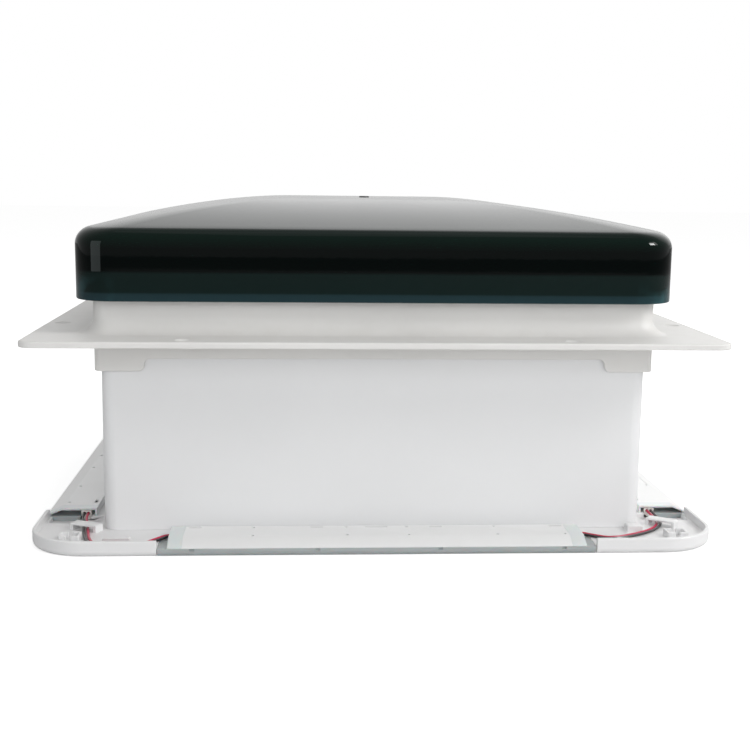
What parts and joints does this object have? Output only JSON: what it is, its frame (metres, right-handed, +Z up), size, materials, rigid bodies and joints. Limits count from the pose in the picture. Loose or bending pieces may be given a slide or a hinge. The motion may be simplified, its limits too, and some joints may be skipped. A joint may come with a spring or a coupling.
{
  "type": "caravan roof vent",
  "caption": "Square caravan roof vent: tinted lifting dome, screw-down roof frame, telescoping liner, and a ceiling trim with edge lamps, pleated blind and screen.",
  "frame": {"origin": "centre of the square roof cut-out, on the underside of the roof flange, which lies on the roof's outer surface", "axes": "+Z up and out of the roof, +Y towards the hinge side, +X to the right seen from the lifting side"},
  "size_m": [0.484, 0.484, 0.241],
  "materials": {
    "frame_plastic": "fine moulded satin",
    "liner_plastic": "fine moulded satin",
    "trim_plastic": "fine moulded satin",
    "seal_rubber": "matt",
    "tinted_acrylic": "polished, dark green tint",
    "inner_acrylic": "polished, clear",
    "carrier_plastic": "satin",
    "dark_plastic": "satin",
    "bow_plastic": "satin",
    "bow_metal": "satin anodised",
    "steel": "bright",
    "light_guide": "frosted clear",
    "lamp_plastic": "satin",
    "flap_plastic": "frosted translucent",
    "led_board": "white solder mask",
    "socket_plastic": "satin",
    "red_wire": "soft sheath",
    "black_wire": "soft sheath",
    "blind_fabric": "pleated opaque cloth",
    "screen_fabric": "pleated fine net",
    "bar_aluminium": "satin anodised",
    "handle_plastic": "satin"
  },
  "bodies": {
    "frame": {"bar_rest_left": "frame_plastic", "bar_rest_right": "frame_plastic", "black_wires": "black_wire", "blind_cloth": "blind_fabric", "bow_bracket_left": "frame_plastic", "bow_bracket_right": "frame_plastic", "bracket_screws": "steel", "cassette_front": "trim_plastic", "cassette_rear": "trim_plastic", "guide_rail_left": "trim_plastic", "guide_rail_right": "trim_plastic", "hinge_pins": "steel", "inner_liner": "liner_plastic", "lamp_cover_front": "lamp_plastic", "lamp_cover_left": "lamp_plastic", "lamp_cover_rear": "lamp_plastic", "lamp_cover_right": "lamp_plastic", "lamp_end_flaps": "flap_plastic", "lamp_sockets": "socket_plastic", "led_board_front": "led_board", "led_board_left": "led_board", "led_board_rear": "led_board", "led_board_right": "led_board", "light_guide_front": "light_guide", "light_guide_left": "light_guide", "light_guide_rear": "light_guide", "light_guide_right": "light_guide", "long_screws": "steel", "pivot_pins": "steel", "red_wires": "red_wire", "rim_seal": "seal_rubber", "screen_cloth": "screen_fabric", "trim_frame": "trim_plastic", "upper_frame": "frame_plastic"},
    "dome": {"dome_outer": "tinted_acrylic", "dome_inner": "inner_acrylic", "dome_carrier": "carrier_plastic", "breather_plug": "dark_plastic", "hinge_leaf_left": "dark_plastic", "hinge_leaf_right": "dark_plastic", "leaf_screws": "steel", "track_left": "carrier_plastic", "track_right": "carrier_plastic", "track_screws": "steel"},
    "bow": {"bow_arm_left": "bow_plastic", "bow_arm_right": "bow_plastic", "bow_bar": "bow_metal", "bow_grip": "dark_plastic"},
    "shoe_left": {"shoe_left": "dark_plastic"},
    "shoe_right": {"shoe_right": "dark_plastic"},
    "blind": {"blind_bar": "bar_aluminium", "blind_handle": "handle_plastic"},
    "screen": {"screen_bar": "bar_aluminium", "screen_handle": "handle_plastic"}
  },
  "joints": [
    {"name": "dome_hinge", "type": "hinge", "parent": "frame", "child": "dome", "pos_m": [0, 0.206, 0.02], "axis": [-1, 0, 0], "range_deg": [0, 45]},
    {"name": "bow_pivot", "type": "hinge", "parent": "frame", "child": "bow", "pos_m": [0, 0.016, 0.02], "axis": [-1, 0, 0], "range_deg": [0, 90]},
    {"name": "shoe_pivot_left", "type": "hinge", "parent": "bow", "child": "shoe_left", "pos_m": [-0.1827, -0.174, 0.02], "axis": [-1, 0, 0], "range_deg": [-45, 0]},
    {"name": "shoe_pivot_right", "type": "hinge", "parent": "bow", "child": "shoe_right", "pos_m": [0.1827, -0.174, 0.02], "axis": [-1, 0, 0], "range_deg": [-45, 0]},
    {"name": "blind_slide", "type": "slide", "parent": "frame", "child": "blind", "axis": [0, 1, 0], "range_m": [0, 0.3346], "deforming": ["blind_cloth"]},
    {"name": "screen_slide", "type": "slide", "parent": "frame", "child": "screen", "axis": [0, -1, 0], "range_m": [0, 0.3346], "deforming": ["screen_cloth"]}
  ],
  "couplings": [
    {"joint": "bow_pivot", "follows": "dome_hinge", "ratio": 2},
    {"joint": "shoe_pivot_left", "follows": "dome_hinge", "ratio": -1},
    {"joint": "shoe_pivot_right", "follows": "dome_hinge", "ratio": -1}
  ]
}
